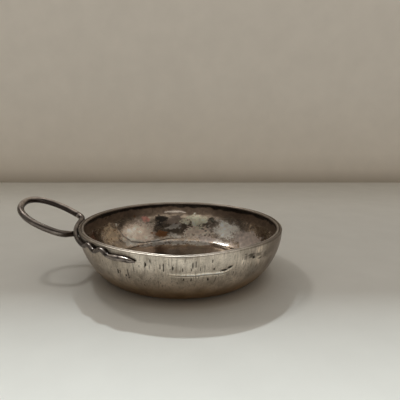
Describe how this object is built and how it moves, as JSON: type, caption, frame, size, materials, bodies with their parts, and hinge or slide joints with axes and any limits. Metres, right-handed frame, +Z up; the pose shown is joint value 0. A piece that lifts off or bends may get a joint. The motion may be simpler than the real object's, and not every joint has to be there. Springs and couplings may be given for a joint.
{
  "type": "tastevin",
  "caption": "Shallow wine-tasting bowl of beaten silver with a wired lip and a serpent wire handle: a finger loop with crossed legs and wavy arms along the wall",
  "frame": {"origin": "middle of the flat bottom, on the surface that the bowl stands on", "axes": "+Z is up, +X points away from the handle through the bowl, so the handle is at -X, and -Y is the front in the picture"},
  "size_m": [0.1055, 0.08, 0.0284],
  "materials": {
    "beaten_silver": "aged silver sheet with hammer marks, worn bright outside and stained inside",
    "rim_silver": "worn bright silver wire",
    "handle_silver": "smooth silver wire with brown tarnish",
    "solder": "dark tarnished silver solder"
  },
  "bodies": {
    "root": {"bowl": "beaten_silver", "rim_wire": "rim_silver", "rim_solder": "solder", "handle_wire": "handle_silver", "front_solder": "solder", "back_solder": "solder"}
  },
  "joints": []
}
